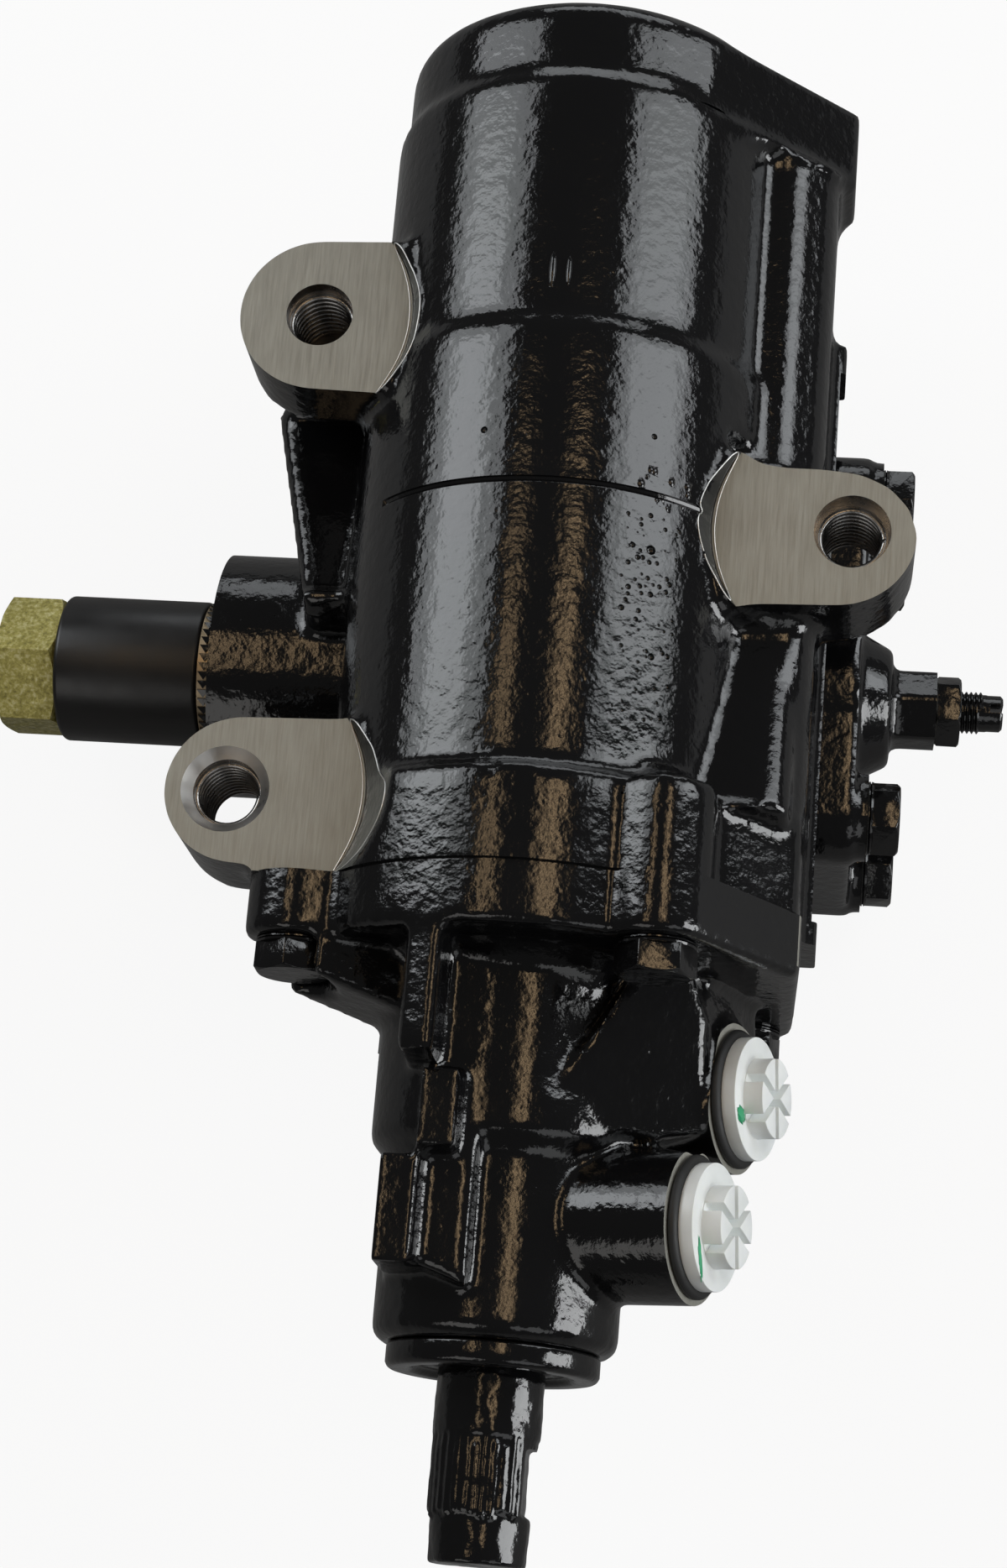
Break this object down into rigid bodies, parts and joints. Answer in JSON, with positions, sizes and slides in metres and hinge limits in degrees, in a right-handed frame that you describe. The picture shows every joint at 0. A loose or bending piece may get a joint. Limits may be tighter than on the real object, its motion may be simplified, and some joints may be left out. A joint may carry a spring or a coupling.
{
  "type": "steering gearbox",
  "caption": "Power steering gear: worm and ball-driven rack piston turn a toothed sector shaft, with a rotary spool valve, side cover and threaded mounting ears.",
  "frame": {"origin": "centre of the input shaft's free end face", "axes": "+Y along the worm axis towards the closed end of the gear housing, +X along the sector shaft towards the side cover, +Z out of the mounting faces"},
  "size_m": [0.23, 0.327, 0.128],
  "materials": {
    "black_paint": "gloss black paint over cast iron",
    "painted_bolts": "gloss black paint over steel",
    "painted_shaft": "black paint over machined steel",
    "rubber": "matt nitrile rubber",
    "bearing_steel": "ground bearing steel",
    "gear_steel": "machined steel",
    "pressed_steel": "pressed spring steel",
    "bronze": "bearing bronze",
    "ring_plastic": "filled sliding plastic",
    "sleeve_plastic": "satin black moulding",
    "yellow_zinc": "yellow passivated zinc on steel",
    "plug_plastic": "natural polyethylene"
  },
  "bodies": {
    "housing": {"gear_housing": "black_paint", "side_cover": "black_paint", "side_cover_bolts": "painted_bolts", "side_cover_seal": "rubber", "cover_bush": "bronze", "adjuster_screw": "painted_bolts", "adjuster_locknut": "painted_bolts", "valve_housing": "black_paint", "valve_housing_bolts": "painted_bolts", "valve_housing_seal": "rubber", "neck_bearing": "bearing_steel", "neck_seal": "rubber", "neck_seal_clip": "pressed_steel", "worm_bearing": "bearing_steel", "input_bearing": "bearing_steel", "input_seal": "rubber", "seal_retainer": "black_paint", "pressure_port_plug": "plug_plastic", "return_port_plug": "plug_plastic", "port_plug_seals": "rubber"},
    "sector": {"sector_shaft": "gear_steel", "spline_sleeve": "sleeve_plastic", "pitman_nut": "yellow_zinc"},
    "piston": {"rack_piston": "gear_steel", "piston_ring": "ring_plastic", "worm_balls": "bearing_steel", "ball_return_guide": "pressed_steel", "guide_clamp": "pressed_steel"},
    "worm": {"worm_shaft": "gear_steel", "torsion_bar": "gear_steel", "valve_sleeve": "gear_steel", "sleeve_rings": "ring_plastic", "worm_bearing_race": "bearing_steel"},
    "input": {"input_shaft": "painted_shaft"}
  },
  "joints": [
    {"name": "sector_turn", "type": "hinge", "parent": "housing", "child": "sector", "pos_m": [0, 0.197, -0.045], "axis": [1, 0, 0], "range_deg": [-40, 40]},
    {"name": "piston_slide", "type": "slide", "parent": "housing", "child": "piston", "axis": [0, 1, 0], "range_m": [-0.0168, 0.0168]},
    {"name": "worm_turn", "type": "hinge", "parent": "housing", "child": "worm", "pos_m": [0, 0.13, 0], "axis": [0, 1, 0], "range_deg": [-681, 681]},
    {"name": "input_twist", "type": "hinge", "parent": "worm", "child": "input", "pos_m": [0, 0.02, 0], "axis": [0, 1, 0], "range_deg": [-5, 5], "stiffness_Nm_per_rad": 60}
  ],
  "couplings": [
    {"joint": "piston_slide", "follows": "sector_turn", "m_per_rad": -0.024},
    {"joint": "worm_turn", "follows": "sector_turn", "ratio": 17}
  ]
}
